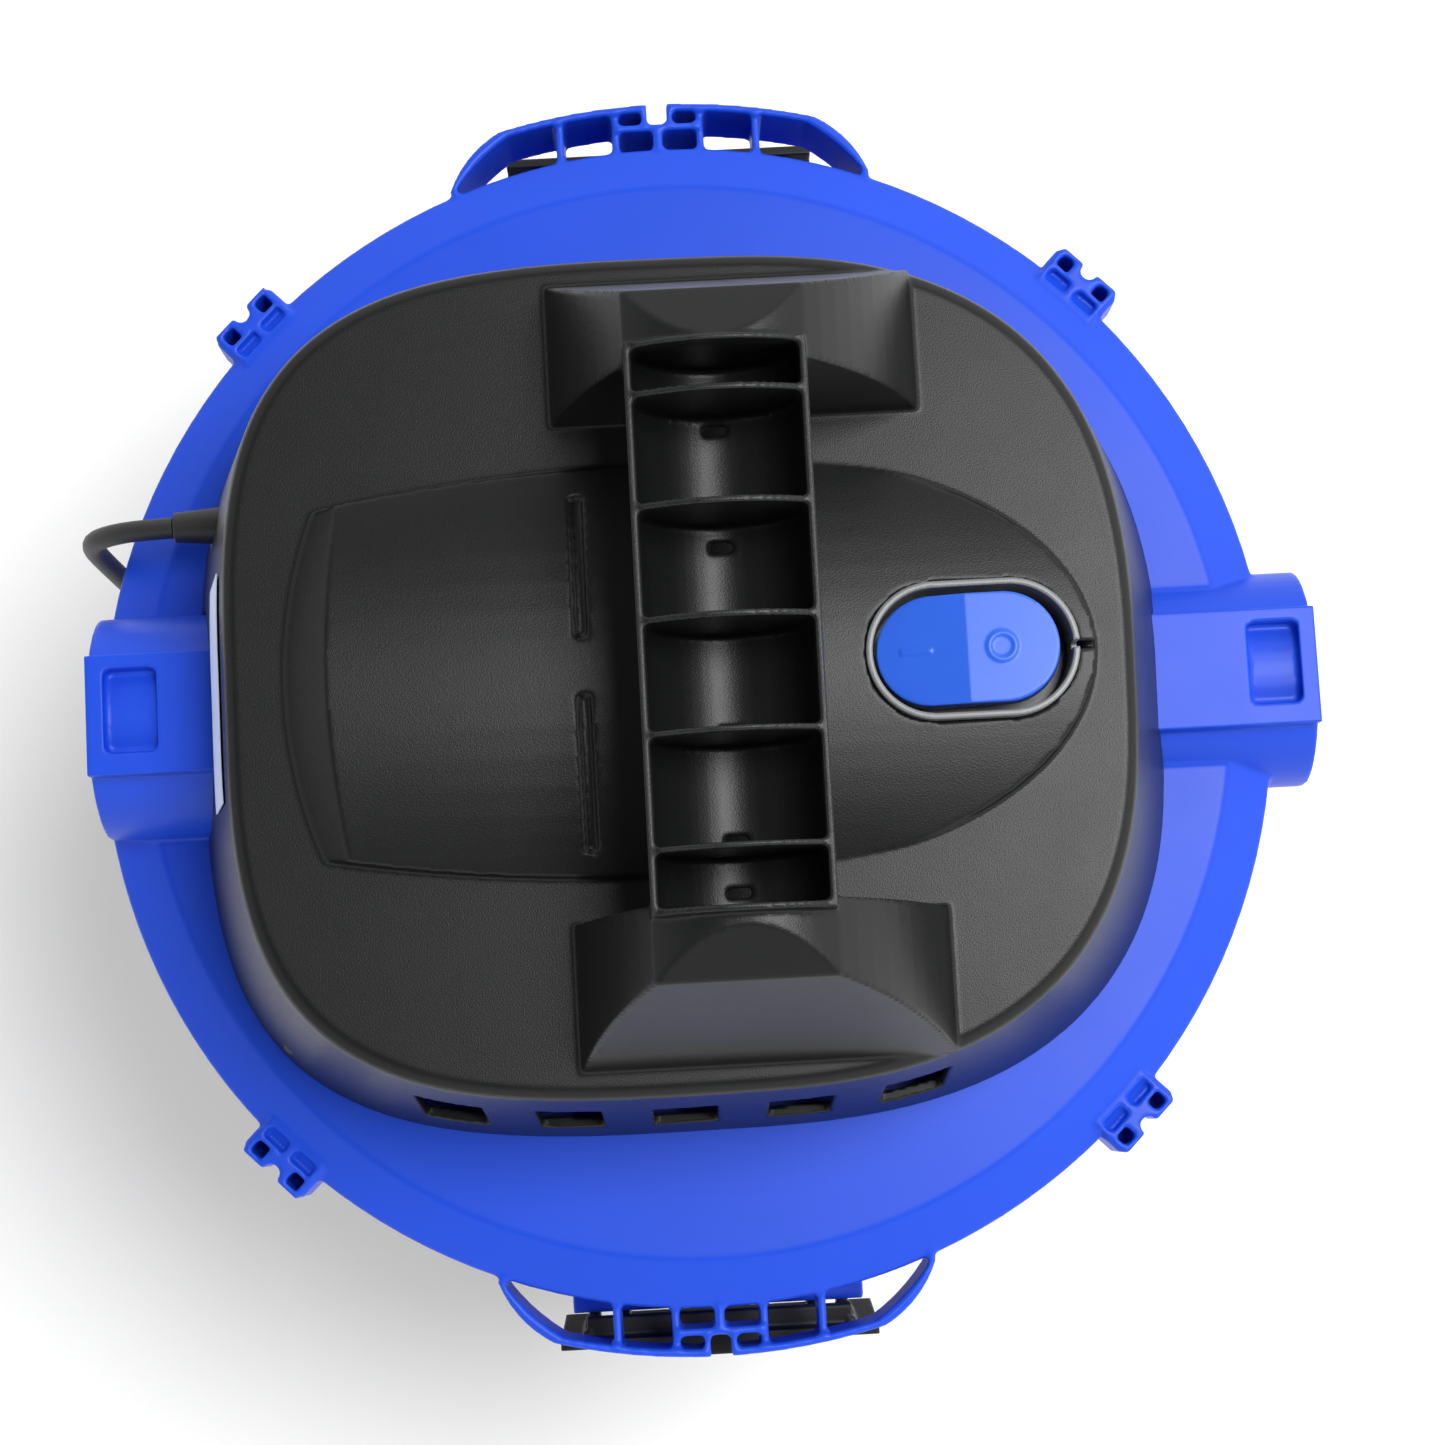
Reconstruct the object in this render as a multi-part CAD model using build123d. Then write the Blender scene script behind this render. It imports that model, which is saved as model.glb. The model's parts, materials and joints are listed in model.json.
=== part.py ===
from build123d import *
from math import atan, cos, degrees, pi, radians, sin, tan
import os

# A small wet/dry shop vacuum. Millimetres, +Z up, +X towards the hose inlet and the switch.
# Everything is drawn about the drum's axis, then moved along X so that the origin is under the
# middle of the whole object. Heights are above the floor.

# ---- driving dimensions -------------------------------------------------------------------
AXIS_X = -5.0             # where the drum's axis stands in the part's frame
FIT = 0.05                # radial clearance of a running pin or shaft

RIM_Z = 320.0             # height of the lid's outer edge
RIM_R = 172.0             # lid's largest radius
SKIRT_R = 169.0           # lid skirt's radius at its lower edge
SKIRT_Z = 266.0           # lower edge of the skirt
DECK_R = 158.0            # inner edge of the sloping rim band
DECK_Z = 327.0            # top of the flat deck
SHELL = 3.0               # moulded wall thickness

DRUM_Z = 50.0             # underside of the drum
DRUM_TOP = 272.0
DRUM_R_LOW = 141.0
DRUM_R_TOP = 152.0
DRUM_WALL = 2.6
DRUM_LIP_R = 159.0
SEAT_Z = DRUM_TOP + 3.6      # underside of the lid's seat, above the seal

COVER_FOOT_Z = DECK_Z + 0.1
COVER_TOP_Z = 415.0
COVER_FOOT = (138.5, 141.0, 121.5)   # half length to the front, to the rear, half width
COVER_TOP = (119.0, 122.3, 112.0)
COVER_POWER = (2.8, 3.4)             # roundness of the outline's front and rear corners

DOME_CROWN_Z = 427.0      # crown of the raised barrel at its rear end
DOME_SLOPE = 2.0          # degrees that the crown falls towards the nose
DOME_BARREL_R = 190.0
DOME_HALF = 54.0

HANDLE_X = 10.7           # centre line of the handle
HANDLE_W = 45.0
HANDLE_Z = 483.0          # top of the handle's rails
HANDLE_DEPTH = 29.0
HANDLE_Y0 = -69.5
HANDLE_Y1 = 71.5
HANDLE_WALL = 2.0
RIB_Y = (58.0, 30.1, 2.2, -25.7, -53.6)
RIB_T = 1.6
RIB_RISE = 6.0
PAD_X = 16.2              # centre of the pads that carry the handle
PAD_L = 97.5
PAD_Y_IN = 66.5
PAD_Y_OUT = 104.5
PAD_SHOULDER_Z = 478.0
PAD_CROWN_Z = 484.0
PAD_CREST_Y = (70.0, 85.5)   # flat crest, then the start of the steep outer face
PAD_HOLLOW = (8.0, 12.0)    # how far each flank is drawn in at mid height, rear and front

SWITCH_X = 75.0
BEZEL_L, BEZEL_W = 56.0, 36.5
ROCKER_L, ROCKER_W = 48.0, 29.0
SWITCH_TOP = 423.8        # top of the bezel ring
PIVOT_Z = 411.5           # height of the rocker's pin
ROCKER_Z = 417.5          # the rocker's middle plane when level
ROCKER_TILT = 7.0
ROCKER_RIDGE, ROCKER_END = 7.4, 4.2   # height of the flats above the middle plane
MARK_PROUD = 0.35         # how far the on and off marks stand up

PORT_Y = 2.5
PORT_R = 32.0
PORT_BORE_R = 28.6        # takes a 57 mm (2-1/4 in) hose cuff
INLET_Z = RIM_Z - 12.0
INLET_END = 182.0
BLOWER_Z = RIM_Z + 12.0
BLOWER_END = -168.0
COLLAR_W = 34.0
COLLAR_RISE = 1.6
WINDOW_L, WINDOW_W = 15.0, 23.5
WINDOW_SKIN = 2.0         # wall left under the recess in the collar

BRACKET_R = 185.8
BRACKET_H = 26.0
BRACKET_WALL = 2.2
SOCKET_R = 170.0          # centre of the small accessory sockets
SOCKET_DEPTH = 16.0

LATCH_PIVOT_R = 168.0
LATCH_PIVOT_Z = 238.0
LATCH_W = 96.0
LATCH_REST = 7.0          # degrees that a released latch leans out from its closed place

CASTER_R = 118.0
CASTER_YAW = (25.0, 140.0, 200.0, 320.0)
WHEEL_R = 17.0
WHEEL_W = 13.0
TRAIL = 11.0

CORD_D = 6.2
CORD_Y = 57.5
COIL_X, COIL_Y = -84.0, 179.0
COIL_IN, COIL_OUT, COIL_H = 25.0, 49.8, 31.0


# ---- helpers ------------------------------------------------------------------------------
def save(node, shape):
    """Write one node, moved from the drum's axis to the part's frame."""
    export_step(Pos(AXIS_X, 0, 0) * shape, f"parts/{node}.step")


def tube(r_out, r_in, z0, z1, x=0.0, y=0.0):
    """Upright ring, or a disc when r_in is 0."""
    height = z1 - z0
    ring = Pos(x, y, z0 + height / 2) * Cylinder(r_out, height)
    if r_in > 0:
        ring -= Pos(x, y, z0 + height / 2) * Cylinder(r_in, height + 2)
    return ring


def block(x0, x1, y0, y1, z0, z1):
    """Box between two corners."""
    centre = Pos((x0 + x1) / 2, (y0 + y1) / 2, (z0 + z1) / 2)
    return centre * Box(x1 - x0, y1 - y0, z1 - z0)


def bar_x(radius, x0, x1, y, z):
    """Round bar along X."""
    return Pos((x0 + x1) / 2, y, z) * Rot(0, 90, 0) * Cylinder(radius, x1 - x0)


def spun(points):
    """Solid of revolution from (radius, height) points."""
    outline = make_face(Polyline(*[(r, 0, z) for r, z in points], close=True))
    return revolve(outline, Axis.Z)


def prism(outline, z0, z1):
    """Closed 2-D curve drawn at height 0, extruded between two heights."""
    return extrude(Pos(0, 0, z0) * make_face(outline), amount=z1 - z0, dir=(0, 0, 1))


def slot_prism(length, width, z0, z1, x=0.0, y=0.0):
    """Stadium-shaped prism, long side along X."""
    sketch = Pos(x, y, z0) * SlotOverall(length, width)
    return extrude(sketch, amount=z1 - z0)


def polar(radius, angle, z=0.0):
    return (radius * cos(radians(angle)), radius * sin(radians(angle)), z)


def turned(shape, count, start=0.0):
    """Copies of a shape spread evenly about Z."""
    return [Rot(0, 0, start + 360.0 * i / count) * shape for i in range(count)]


# ---- drum and casters ---------------------------------------------------------------------
def caster_places():
    return [polar(CASTER_R, 45 + 90 * i) for i in range(4)]


def drum():
    wall = DRUM_WALL
    shell = spun([
        (0, DRUM_Z), (DRUM_R_LOW - 6, DRUM_Z), (DRUM_R_LOW, DRUM_Z + 6), (DRUM_R_TOP, DRUM_TOP - 8),
        (DRUM_LIP_R - 1.5, DRUM_TOP - 8), (DRUM_LIP_R, DRUM_TOP - 6.5), (DRUM_LIP_R, DRUM_TOP),
        (DRUM_R_TOP - wall, DRUM_TOP), (DRUM_R_LOW - wall, DRUM_Z + 7),
        (DRUM_R_LOW - 7.5, DRUM_Z + wall), (0, DRUM_Z + wall)])
    body = shell
    for x, y, _ in caster_places():
        boss = tube(13.0, 0, DRUM_Z - 9, DRUM_Z + 1, x, y)
        body += boss
    for x, y, _ in caster_places():
        body -= tube(6.0, 0, DRUM_Z - 10, DRUM_Z + 10, x, y)
    for x, y, _ in caster_places():
        cup = tube(9.0, 0, DRUM_Z + 1, DRUM_Z + 12, x, y)
        body += cup - tube(6.0, 0, DRUM_Z - 1, DRUM_Z + 10, x, y)
    for side in (1, -1):
        for x in (-34.0, 34.0):
            lug = block(x - 2, x + 2, 145.2, LATCH_PIVOT_R + 3, LATCH_PIVOT_Z - 12, LATCH_PIVOT_Z + 4)
            lug -= block(x - 3, x + 3, 158, 180, LATCH_PIVOT_Z - 13, LATCH_PIVOT_Z - 5)
            lug -= bar_x(2.0, x - 3, x + 3, LATCH_PIVOT_R, LATCH_PIVOT_Z)
            body += lug if side > 0 else lug.rotate(Axis.Z, 180)
    return body


def latch_pins():
    pins = [bar_x(2.0, -38, 38, side * LATCH_PIVOT_R, LATCH_PIVOT_Z) for side in (1, -1)]
    return Compound(pins)


def latch():
    """Latch at the +Y side in its closed place."""
    pz, pr = LATCH_PIVOT_Z, LATCH_PIVOT_R
    half = LATCH_W / 2
    plate = block(-half, half, pr + 9.5, pr + 12.5, pz - 5, pz + 39)
    hook = block(-half + 8, half - 8, pr + 3.4, pr + 10, pz + 32.3, pz + 35.7)
    lip = block(-12, 12, pr + 12, pr + 16, pz + 36.5, pz + 39)
    body = plate + hook + lip
    for x in (-34.0, 34.0):
        for dx in (-4.6, 4.6):
            arm = block(x + dx - 1.8, x + dx + 1.8, pr - 4, pr + 10, pz - 4, pz + 4)
            body += arm
    for x in (-40.0, 0.0, 40.0):
        body += block(x - 1.2, x + 1.2, pr + 7.5, pr + 10, pz + 8, pz + 36.2)
    body -= bar_x(2.0 + FIT, -half, half, pr, pz)
    for x in (-34.0, 34.0):
        body -= block(x - 2.7, x + 2.7, pr - 8, pr + 14, pz - 8, pz + 7)
    return body


def released_latch(side):
    turned_latch = latch().rotate(Axis((0, LATCH_PIVOT_R, LATCH_PIVOT_Z), (1, 0, 0)), -LATCH_REST)
    return turned_latch if side > 0 else turned_latch.rotate(Axis.Z, 180)


def caster_sockets():
    return Compound([tube(6.0, 3.0 + FIT, DRUM_Z - 9, DRUM_Z + 9.5, x, y) for x, y, _ in caster_places()])


def at_caster(index, shape):
    x, y, _ = caster_places()[index]
    return Pos(x, y, 0) * Rot(0, 0, CASTER_YAW[index]) * shape


def caster_yoke():
    half = WHEEL_W / 2 + 0.8
    crown = tube(9.0, 0, WHEEL_R + 19.0, WHEEL_R + 23.6)
    crown += block(-TRAIL - 5, 4, -half - 2.6, half + 2.6, WHEEL_R + 19.0, WHEEL_R + 22.0)
    for side in (1, -1):
        y0, y1 = sorted((side * half, side * (half + 2.6)))
        cheek = Pos(-TRAIL, (y0 + y1) / 2, WHEEL_R) * Rot(90, 0, 0) * Cylinder(5.5, y1 - y0)
        crown += cheek + block(-TRAIL - 5, -TRAIL + 5.2, y0, y1, WHEEL_R, WHEEL_R + 19.5)
        crown += block(-TRAIL + 4, 2, y0, y1, WHEEL_R + 12, WHEEL_R + 19.5)
    crown -= Pos(-TRAIL, 0, WHEEL_R) * Rot(90, 0, 0) * Cylinder(2.0, 60)
    crown -= tube(3.0, 0, WHEEL_R + 20.5, WHEEL_R + 30)
    return crown


def caster_stem():
    return tube(3.0, 0, WHEEL_R + 20.5, DRUM_Z + 9.2)


def caster_axle():
    return Pos(-TRAIL, 0, WHEEL_R) * Rot(90, 0, 0) * Cylinder(2.0, WHEEL_W + 2 * 3.4)


def caster_wheel():
    tread = [(2.0 + FIT, -WHEEL_W / 2), (6.0, -WHEEL_W / 2), (6.5, -WHEEL_W / 2 + 1.4),
             (12.5, -WHEEL_W / 2 + 1.4), (13.0, -WHEEL_W / 2 + 0.4), (WHEEL_R - 1.2, -WHEEL_W / 2 + 0.4),
             (WHEEL_R, -WHEEL_W / 2 + 1.8), (WHEEL_R, WHEEL_W / 2 - 1.8),
             (WHEEL_R - 1.2, WHEEL_W / 2 - 0.4),
             (13.0, WHEEL_W / 2 - 0.4), (12.5, WHEEL_W / 2 - 1.4), (6.5, WHEEL_W / 2 - 1.4),
             (6.0, WHEEL_W / 2), (2.0 + FIT, WHEEL_W / 2)]
    return Pos(-TRAIL, 0, WHEEL_R) * Rot(90, 0, 0) * spun(tread)


# ---- lid ----------------------------------------------------------------------------------
def bracket_outline(inset):
    """Plan outline of the wide bracket at +Y, pulled in by a wall thickness."""
    r = BRACKET_R - inset
    angle = degrees(inset / BRACKET_R)

    def point(radius, deg):
        return polar(radius, 90 - deg)[:2]
    left = [point(160, -21.5), point(173.5, -21.3 + angle), point(181 - inset, -18.4 + angle)]
    right = [(-x, y) for x, y in reversed(left)]
    start, stop = point(r, -14.8 + angle), point(r, 14.8 - angle)
    path = [Line(left[0], left[1]), ThreePointArc(left[1], left[2], start),
            ThreePointArc(start, point(r, 0), stop), ThreePointArc(stop, right[0], right[1]),
            Line(right[1], right[2]), Line(right[2], left[0])]
    return Curve() + path


def bracket():
    z0, z1 = RIM_Z - BRACKET_H, RIM_Z + 0.6
    outer = prism(bracket_outline(0.0).edges(), z0, z1)
    inner = prism(bracket_outline(BRACKET_WALL).edges(), z0 - 1, z1 + 1)
    body = outer - inner
    # cross ribs, and the H-shaped socket in the middle
    t = BRACKET_WALL / 2
    for x in (-29.5, -12.7, 12.7, 29.5):
        body += block(x - t, x + t, 165, BRACKET_R - 1.2 - x * x / (2 * BRACKET_R), z0, z1 - 1.0)
    body += block(-12.7, 12.7, 177.6, 179.6, z0, z1)
    body += block(-4.6, -3.0, 178, 185, z0, z1) + block(3.0, 4.6, 178, 185, z0, z1)
    body += block(-1.4, 1.4, 168, 178, z0, z1)
    body -= tube(3.0, 0, z0 - 1, z1 + 1, 0, 184.4) + block(-3.0, 3.0, 184.4, 190, z0 - 1, z1 + 1)
    return body


def accessory_socket():
    """Small H-shaped box on the rim, drawn at +X."""
    z0, z1 = RIM_Z - SOCKET_DEPTH, RIM_Z + 2.5
    body = block(SOCKET_R - 3, SOCKET_R + 10, -10.5, 10.5, z0, z1)
    for side in (1, -1):
        y0, y1 = sorted((side * 4.6, side * 9.0))
        body -= block(SOCKET_R + 4.4, SOCKET_R + 8.4, y0, y1, z0 + 2, z1 + 1)
        y0, y1 = sorted((side * 1.2, side * 9.0))
        body -= block(SOCKET_R - 1.0, SOCKET_R + 2.8, y0, y1, z0 + 2, z1 + 1)
        body += block(SOCKET_R + 2, SOCKET_R + 8.4, *sorted((side * 10.0, side * 11.6)), z0, z1 - 1.0)
    body -= tube(2.6, 0, z0 - 1, z1 + 1, SOCKET_R + 9.4, 0)
    return body


def port(x_end, x_in, z, side):
    """Outside of a hose port along X, with the flat collar on top. side is +1 for +X."""
    x0, x1 = sorted((x_in, x_end))
    body = bar_x(PORT_R, x0, x1, PORT_Y, z)
    half = COLLAR_W / 2
    body += block(x0, x1, PORT_Y - half, PORT_Y + half, z, z + PORT_R + COLLAR_RISE)
    return body


def port_window(x_end, side, z):
    near, far = sorted((x_end - side * 5.0, x_end - side * (5.0 + WINDOW_L)))
    sketch = Pos((near + far) / 2, PORT_Y + 1.0, z + 15) * RectangleRounded(WINDOW_L, WINDOW_W, 2.0)
    recess = extrude(sketch, amount=40)
    return recess - bar_x(PORT_BORE_R + WINDOW_SKIN, near - 1, far + 1, PORT_Y, z)


def lid():
    t = SHELL
    shell = spun([
        (24.0, DECK_Z - t), (DECK_R - 2, DECK_Z - t), (RIM_R - t, RIM_Z - t), (SKIRT_R - t, SKIRT_Z),
        (SKIRT_R, SKIRT_Z), (RIM_R - 0.2, RIM_Z - 3), (RIM_R, RIM_Z - 1.5), (RIM_R - 0.4, RIM_Z),
        (DECK_R, DECK_Z), (24.0, DECK_Z)])
    # seat for the drum seal
    shell += spun([(146, SEAT_Z), (168.0, SEAT_Z), (168.0, SEAT_Z + 2.6), (148.8, SEAT_Z + 2.6),
                   (148.8, DECK_Z - 1), (146, DECK_Z - 1)])
    body = shell
    for side in (0, 180):
        wide = bracket() - tube(RIM_R - 1.5, 0, RIM_Z - 40, RIM_Z + 10)
        ledge = block(-44, 44, 160, 174.5, SKIRT_Z, SKIRT_Z + 3.4) - tube(SKIRT_R - 2, 0, 200, 300)
        body += (wide + ledge).rotate(Axis.Z, side)
    clear = tube(RIM_R - 2.0, 0, RIM_Z - 40, RIM_Z - 3) + spun(
        [(0, RIM_Z - 4), (RIM_R - 2.2, RIM_Z - 4), (RIM_R - 2.2, RIM_Z - 1.2), (DECK_R, DECK_Z - 1.2),
         (0, DECK_Z - 1.2)])
    for socket in turned(accessory_socket() - clear, 4, 45):
        body += socket
    # hose ports: the inlet opens downwards into the drum, the blower into the motor cover
    body += port(INLET_END, 122.0, INLET_Z, 1)
    body += port(BLOWER_END, -112.0, BLOWER_Z, -1)
    body -= bar_x(PORT_BORE_R, 126.0, INLET_END + 1, PORT_Y, INLET_Z)
    body -= bar_x(PORT_BORE_R + 1.0, 124.6, 127.0, PORT_Y, INLET_Z)
    body -= block(126.0, 145.0, PORT_Y - 21, PORT_Y + 21, INLET_Z - 36, INLET_Z - 10)
    body -= bar_x(PORT_BORE_R, BLOWER_END - 12, -116.0, PORT_Y, BLOWER_Z)
    body -= block(-117.0, -111.0, PORT_Y - 24, PORT_Y + 24, DECK_Z, BLOWER_Z + 22)
    body -= port_window(INLET_END, 1, INLET_Z) + port_window(BLOWER_END, -1, BLOWER_Z)
    # spigot that carries the filter cage, and bosses for the cover's screws
    body += tube(52.0, 49.0, DECK_Z - 14, DECK_Z - 1)
    for x, y in screw_places():
        body += tube(5.0, 0, DECK_Z - 14, DECK_Z - 1, x, y)
    for x, y in screw_places():
        body -= tube(1.75, 0, DECK_Z - 15, DECK_Z + 1, x, y)
    for x, y in motor_screw_places():
        body -= tube(1.75, 0, DECK_Z - 4, DECK_Z + 1, x, y)
    return body


SCREW_SPOTS = ((133.0, 38.0), (142.0, 142.0), (142.0, 218.0), (133.0, 322.0))   # radius, angle


def screw_places():
    return [polar(radius, angle)[:2] for radius, angle in SCREW_SPOTS]


def motor_screw_places():
    return [polar(71.0, a)[:2] for a in (45, 135, 225, 315)]


def lid_seal():
    return tube(158.4, 150.2, DRUM_TOP + 0.6, SEAT_Z)


# ---- motor cover --------------------------------------------------------------------------
def cover_outline(size, inset):
    """Closed curve at height 0: a rounded square with a rounder front than rear."""
    front, rear, half = (value - inset for value in size)

    def point(angle):
        c, s = cos(radians(angle)), sin(radians(angle))
        length, power = (front, COVER_POWER[0]) if c >= 0 else (rear, COVER_POWER[1])
        return (length * abs(c) ** (2 / power) * (1 if c >= 0 else -1),
                half * abs(s) ** (2 / power) * (1 if s >= 0 else -1))
    return Spline(*[point(a) for a in range(0, 360, 15)], periodic=True)


def cover_section(size, inset, z):
    return Pos(0, 0, z) * make_face(cover_outline(size, inset))


def between(share):
    """Cover size at a share of the way from the foot to the top."""
    return tuple(f + (t - f) * share for f, t in zip(COVER_FOOT, COVER_TOP))


def cover_block(inset, z0, z1, edge):
    """Tapered body of the cover, with its top edge eased by two small slopes."""
    body = loft([cover_section(COVER_FOOT, inset, z0),
                 cover_section(COVER_TOP, inset, z1 - edge)], ruled=True)
    if edge > 0:
        body += loft([cover_section(COVER_TOP, inset, z1 - edge),
                      cover_section(COVER_TOP, inset + 0.35 * edge, z1 - 0.35 * edge)], ruled=True)
        body += loft([cover_section(COVER_TOP, inset + 0.35 * edge, z1 - 0.35 * edge),
                      cover_section(COVER_TOP, inset + edge, z1)], ruled=True)
    return body


def dome(inset):
    """Raised barrel on the cover: straight sides, a rounded nose in front, a slanted rear end."""
    half = DOME_HALF - inset
    nose = 107.5 - inset
    tail = -97.0 + inset
    path = [ThreePointArc((tail, 46 - inset), (-40, half - 0.6), (20, half)),
            EllipticalCenterArc((20, 0), nose - 20, half, -90, arc_size=180),
            ThreePointArc((20, -half), (-40, -half + 0.6), (tail, -46 + inset)),
            ThreePointArc((tail, -46 + inset), (tail - 9, 0), (tail, 46 - inset))]
    body = prism((Curve() + path).edges(), COVER_TOP_Z - SHELL - 6, COVER_TOP_Z + 30)
    crown = DOME_CROWN_Z - inset
    barrel = Pos(-92, 0, crown - DOME_BARREL_R + inset) * Rot(0, 90 + DOME_SLOPE, 0)
    body &= barrel * Cylinder(DOME_BARREL_R - inset, 600)
    # the slanted rear end is a cone's flank about an upright axis
    reach = 124.0 - inset
    axis_x = tail - 9 + reach
    top_z = COVER_TOP_Z + 20
    cone = Pos(axis_x, 0, (COVER_TOP_Z + top_z) / 2) * Cone(reach, reach - 20, top_z - COVER_TOP_Z)
    front = block(axis_x - 20, 130, -80, 80, 380, 460)
    low = block(-130, 130, -80, 80, 380, COVER_TOP_Z)
    body &= cone + front + low
    return body


def pad(side):
    """Arched end of the handle: a wide foot, hollow flanks and a steep outer face."""
    foot_z = COVER_TOP_Z - SHELL
    middle_z = (COVER_TOP_Z + PAD_SHOULDER_Z) / 2 + 1
    rear, front = PAD_X - PAD_L / 2, PAD_X + PAD_L / 2
    rear_top, front_top = HANDLE_X - HANDLE_W / 2, HANDLE_X + HANDLE_W / 2
    crest_in, crest_out = PAD_CREST_Y
    path = [Line((rear, 0, foot_z), (rear, 0, COVER_TOP_Z)),
            ThreePointArc((rear, 0, COVER_TOP_Z), (rear + PAD_HOLLOW[0], 0, middle_z),
                          (rear_top, 0, PAD_SHOULDER_Z)),
            ThreePointArc((rear_top, 0, PAD_SHOULDER_Z), (HANDLE_X, 0, PAD_CROWN_Z),
                          (front_top, 0, PAD_SHOULDER_Z)),
            ThreePointArc((front_top, 0, PAD_SHOULDER_Z), (front - PAD_HOLLOW[1], 0, middle_z),
                          (front, 0, COVER_TOP_Z)),
            Line((front, 0, COVER_TOP_Z), (front, 0, foot_z)),
            Line((front, 0, foot_z), (rear, 0, foot_z))]
    arch = extrude(make_face((Curve() + path).edges()), amount=PAD_Y_OUT + 10, dir=(0, 1, 0))
    lean = make_face(Polyline((rear - 10, PAD_Y_IN, foot_z), (rear - 10, PAD_Y_IN, PAD_CROWN_Z + 1),
                              (rear - 10, crest_in, PAD_CROWN_Z + 1),
                              (rear - 10, crest_out, PAD_SHOULDER_Z),
                              (rear - 10, PAD_Y_OUT, COVER_TOP_Z), (rear - 10, PAD_Y_OUT, foot_z),
                              close=True))
    body = arch & extrude(lean, amount=PAD_L + 20, dir=(1, 0, 0))
    return body if side > 0 else mirror(body, Plane.XZ)


def handle_profile(inset, z_top):
    """U-shaped cross-section of the handle in the XZ plane, open upwards when cut by itself."""
    half = HANDLE_W / 2 - inset
    z_low = HANDLE_Z - HANDLE_DEPTH + inset
    shoulder = HANDLE_Z - 11
    path = [Line((HANDLE_X - half, 0, z_top), (HANDLE_X - half, 0, shoulder)),
            ThreePointArc((HANDLE_X - half, 0, shoulder), (HANDLE_X, 0, z_low),
                          (HANDLE_X + half, 0, shoulder)),
            Line((HANDLE_X + half, 0, shoulder), (HANDLE_X + half, 0, z_top)),
            Line((HANDLE_X + half, 0, z_top), (HANDLE_X - half, 0, z_top))]
    return make_face((Curve() + path).edges())


def handle_solid(inset, y0, y1, z_top):
    return extrude(Pos(0, y0, 0) * handle_profile(inset, z_top), amount=y1 - y0, dir=(0, 1, 0))


def handle_rib(y):
    """Thin cross rib whose upper edge is arched above the rails."""
    rise = RIB_RISE
    half = HANDLE_W / 2 - 1.0
    top = HANDLE_Z - 0.6
    path = [Line((HANDLE_X - half, 0, top - 20), (HANDLE_X - half, 0, top)),
            ThreePointArc((HANDLE_X - half, 0, top), (HANDLE_X, 0, top + rise),
                          (HANDLE_X + half, 0, top)),
            Line((HANDLE_X + half, 0, top), (HANDLE_X + half, 0, top - 20)),
            Line((HANDLE_X + half, 0, top - 20), (HANDLE_X - half, 0, top - 20))]
    face = make_face((Curve() + path).edges())
    arch = extrude(Pos(0, y - RIB_T / 2, 0) * face, amount=RIB_T, dir=(0, 1, 0))
    filled = handle_solid(0.8, y - RIB_T / 2, y + RIB_T / 2, HANDLE_Z - 8)
    return arch + filled


def handle_cells():
    return handle_solid(HANDLE_WALL, HANDLE_Y0 + HANDLE_WALL, HANDLE_Y1 - HANDLE_WALL, HANDLE_Z + 12)


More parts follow.
